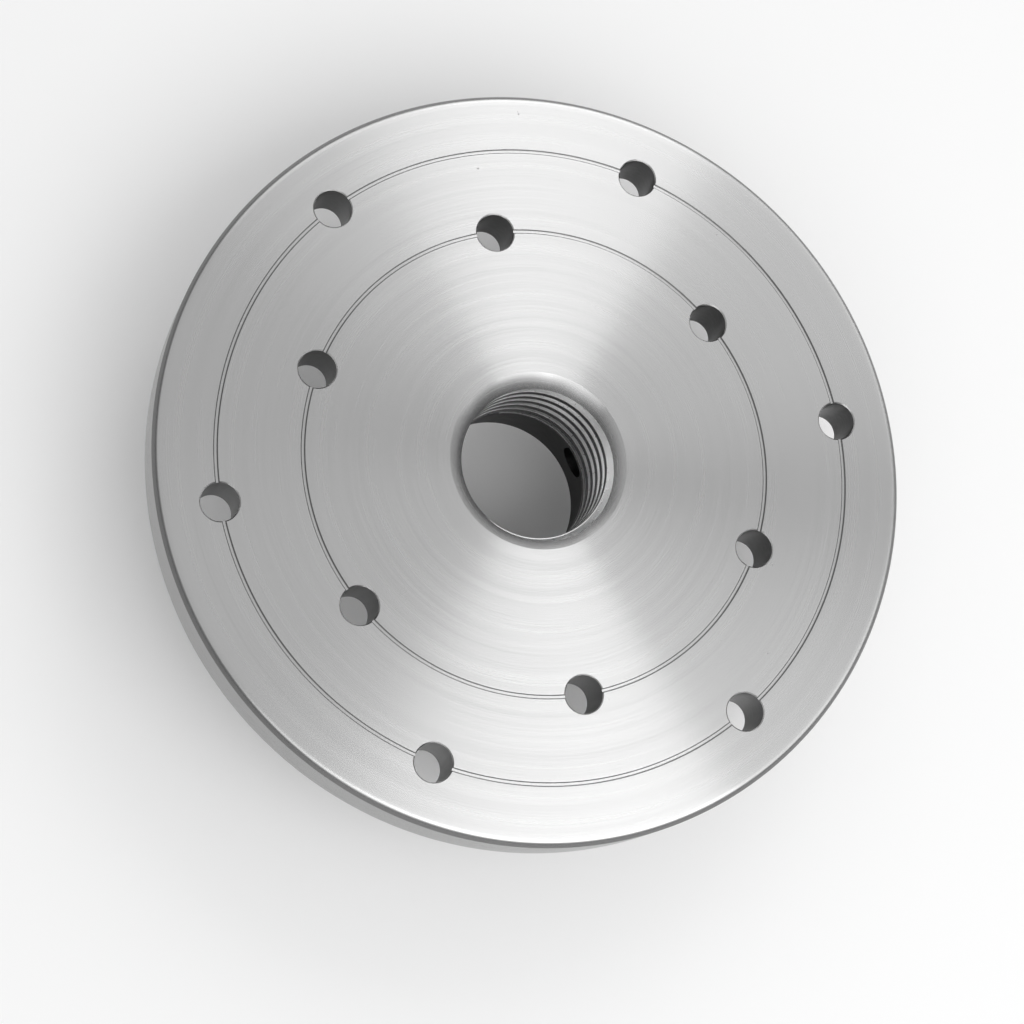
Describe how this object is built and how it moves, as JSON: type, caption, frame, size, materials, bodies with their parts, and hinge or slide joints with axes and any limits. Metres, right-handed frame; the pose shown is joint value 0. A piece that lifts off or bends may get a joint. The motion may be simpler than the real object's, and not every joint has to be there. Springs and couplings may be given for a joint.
{
  "type": "lathe faceplate",
  "caption": "Turned steel disc with a threaded spindle bore, a rear hub with a plain register bore, and two staggered circles of wood-screw holes on scribed rings.",
  "frame": {"origin": "centre of the hub's rear face, which seats on the spindle's shoulder", "axes": "+Z along the bore towards the work face; +X through the first hole of the outer circle"},
  "size_m": [0.1444, 0.1444, 0.035],
  "materials": {
    "turned_steel": "satin, fine turned rings on the face",
    "black_steel": "black oxide, satin"
  },
  "bodies": {
    "root": {"faceplate": "turned_steel", "grub_screw": "black_steel"}
  },
  "joints": []
}
